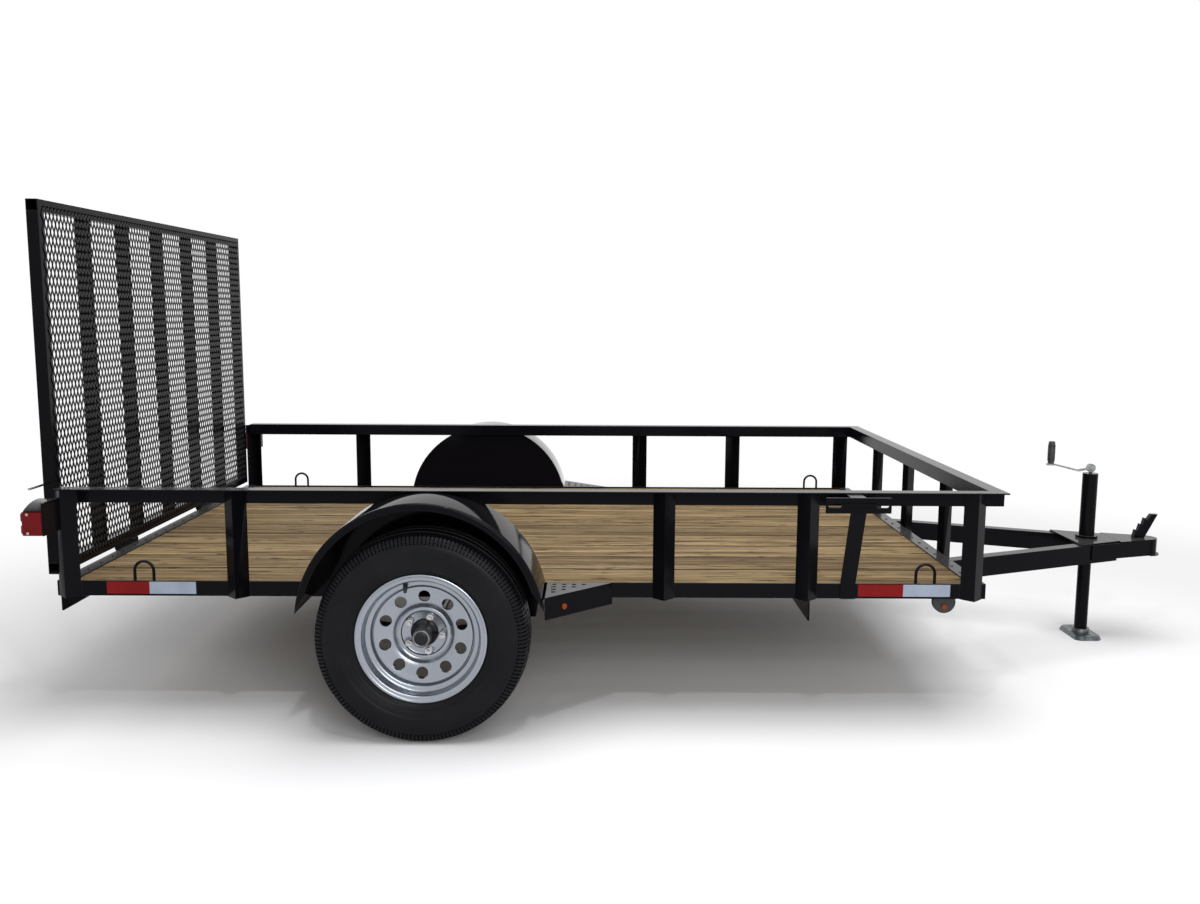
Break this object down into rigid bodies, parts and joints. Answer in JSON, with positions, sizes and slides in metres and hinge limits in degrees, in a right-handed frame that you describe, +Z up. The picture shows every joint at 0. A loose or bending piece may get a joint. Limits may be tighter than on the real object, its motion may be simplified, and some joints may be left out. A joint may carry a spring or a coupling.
{
  "type": "utility trailer",
  "caption": "Open utility trailer with a timber deck, angle-iron side rails, round fenders, an A-frame tongue on a screw jack and a mesh ramp gate",
  "frame": {"origin": "centre of the footprint on the ground", "axes": "+X forward to the hitch, +Y to the trailer's left, +Z up"},
  "size_m": [4.155, 2.4008, 1.69],
  "materials": {
    "black_paint": "gloss black paint on steel",
    "gate_mesh_paint": "gloss black paint on expanded steel",
    "deck_timber": "treated softwood, planed, unpainted",
    "zinc": "bright zinc plate",
    "grip_plastic": "black moulded grip",
    "wheel_silver": "silver wheel paint",
    "hub_black": "black paint, greased cap",
    "tyre_rubber": "new black rubber",
    "red_lens": "moulded red lens",
    "amber_lens": "moulded amber lens",
    "grommet_rubber": "black rubber grommet"
  },
  "bodies": {
    "chassis": {"frame_sides": "black_paint", "frame_front": "black_paint", "frame_rear": "black_paint", "cross_members": "black_paint", "rail_sides": "black_paint", "rail_front": "black_paint", "posts_sides": "black_paint", "posts_front": "black_paint", "under_beams": "black_paint", "tongue_tubes": "black_paint", "coupler": "black_paint", "coupler_latch": "black_paint", "jack_plate": "black_paint", "jack_tube": "black_paint", "fender_right": "black_paint", "fender_left": "black_paint", "steps": "black_paint", "axle": "black_paint", "springs": "black_paint", "spring_hangers": "black_paint", "spring_clamps": "black_paint", "lamp_brackets": "black_paint", "tie_down_loops": "black_paint", "carrier_plate": "black_paint", "carrier_leg": "black_paint", "carrier_strap": "black_paint", "frame_lugs": "black_paint", "deck_boards": "deck_timber", "jack_crank": "zinc", "jack_grip": "grip_plastic", "tail_lamps": "red_lens", "marker_lamps": "amber_lens", "marker_grommets": "grommet_rubber"},
    "wheel_right": {"tyre_right": "tyre_rubber", "rim_right": "wheel_silver", "hub_right": "hub_black"},
    "wheel_left": {"tyre_left": "tyre_rubber", "rim_left": "wheel_silver", "hub_left": "hub_black"},
    "gate": {"gate_uprights": "black_paint", "gate_rails": "black_paint", "gate_lugs": "black_paint", "gate_mesh": "gate_mesh_paint"},
    "jack_leg": {"jack_leg": "black_paint", "jack_foot": "zinc"}
  },
  "joints": [
    {"name": "wheel_right_spin", "type": "hinge", "parent": "chassis", "child": "wheel_right", "pos_m": [-0.8235, -1.0925, 0.338], "axis": [0, 1, 0], "continuous": true},
    {"name": "wheel_left_spin", "type": "hinge", "parent": "chassis", "child": "wheel_left", "pos_m": [-0.8235, 1.0925, 0.338], "axis": [0, 1, 0], "continuous": true},
    {"name": "gate_ramp", "type": "hinge", "parent": "chassis", "child": "gate", "pos_m": [-2.0585, 0, 0.466], "axis": [0, -1, 0], "range_deg": [0, 111]},
    {"name": "jack_lift", "type": "slide", "parent": "chassis", "child": "jack_leg", "axis": [0, 0, 1], "range_m": [0, 0.25]}
  ]
}
